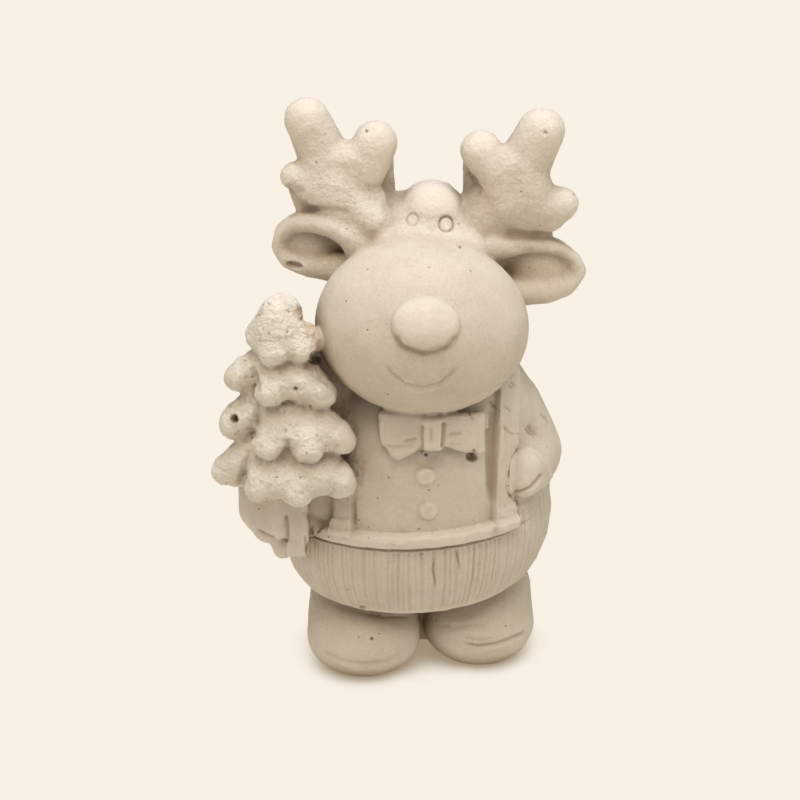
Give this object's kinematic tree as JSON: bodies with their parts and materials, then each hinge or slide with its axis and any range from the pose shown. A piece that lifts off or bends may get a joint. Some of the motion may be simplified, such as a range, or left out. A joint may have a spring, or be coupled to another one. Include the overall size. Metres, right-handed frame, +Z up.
{
  "type": "deer figurine",
  "caption": "Cast plaster figurine of a standing cartoon reindeer in trousers, belt, braces and bow tie, holding a snowy fir tree.",
  "frame": {"origin": "middle of the bounding box, on the flat underside of the boots", "axes": "+Z up, the longest extent; the figure looks along -Y, the shortest extent; its tree is at -X"},
  "size_m": [0.089, 0.0692, 0.142],
  "materials": {
    "plaster": "matte, bare cast plaster with pinholes and faint stains"
  },
  "bodies": {
    "root": {"reindeer_figurine": "plaster"}
  },
  "joints": []
}
